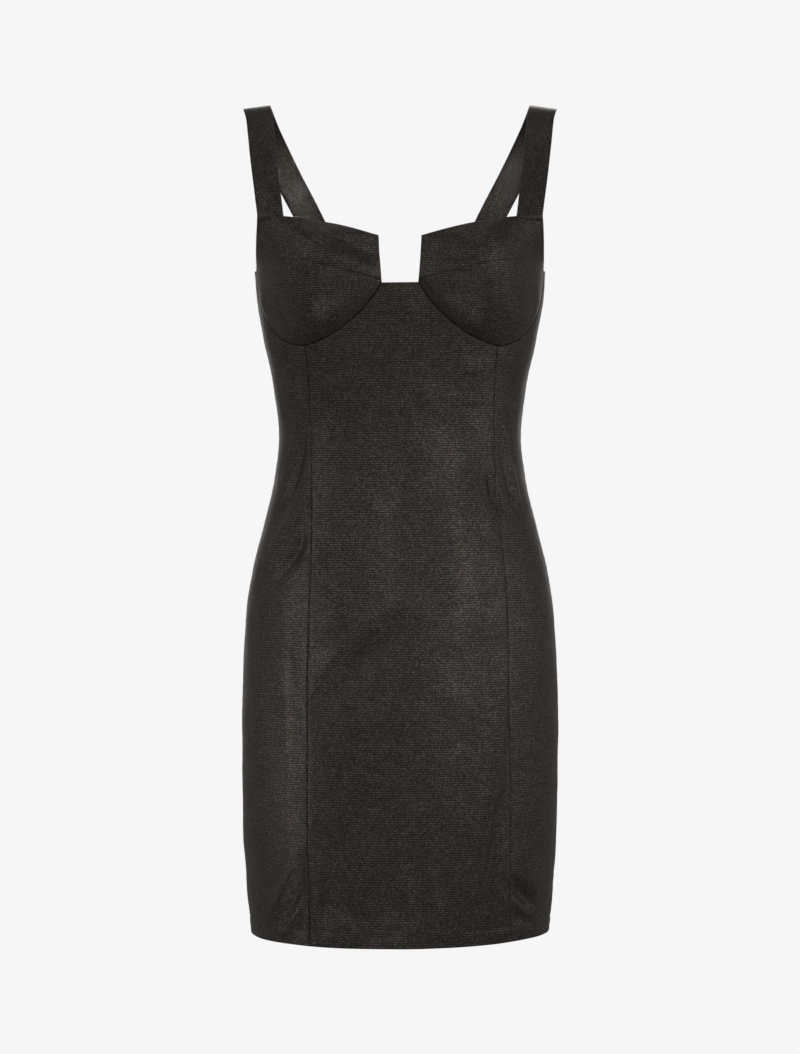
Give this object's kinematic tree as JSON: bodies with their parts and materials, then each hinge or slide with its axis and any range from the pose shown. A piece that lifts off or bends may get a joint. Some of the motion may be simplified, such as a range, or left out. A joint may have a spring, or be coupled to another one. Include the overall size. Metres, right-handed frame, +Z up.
{
  "type": "sheath dress",
  "caption": "Worn-form sleeveless mini sheath dress in glittering cloth, with seamed bust cups, a squared notch, wide shoulder straps and a back zip.",
  "frame": {"origin": "midway between the crowns of the two shoulder straps, level with the middle of their undersides, where the wearer's shoulders carry the dress", "axes": "+Z up, the front of the dress faces -Y, +X is on the right of someone who looks at the front"},
  "size_m": [0.3286, 0.2414, 0.8594],
  "materials": {
    "cloth": "dark bronze-grey knit with fine level rows of metallic glitter",
    "zip_tape": "matte woven tape with a closed nylon coil",
    "zip_metal": "dark satin paint"
  },
  "bodies": {
    "dress": {"front_centre": "cloth", "front_side_left": "cloth", "front_side_right": "cloth", "back_left": "cloth", "back_right": "cloth", "cup_upper_left": "cloth", "cup_upper_right": "cloth", "cup_lower_left": "cloth", "cup_lower_right": "cloth", "strap_left": "cloth", "strap_right": "cloth", "back_zip_tape": "zip_tape", "zip_slider": "zip_metal"},
    "pull": {"zip_pull": "zip_metal"}
  },
  "joints": [
    {"name": "pull_swing", "type": "hinge", "parent": "dress", "child": "pull", "pos_m": [0, 0.09703, -0.19137], "axis": [1, 0, 0], "range_deg": [0, 165]}
  ]
}
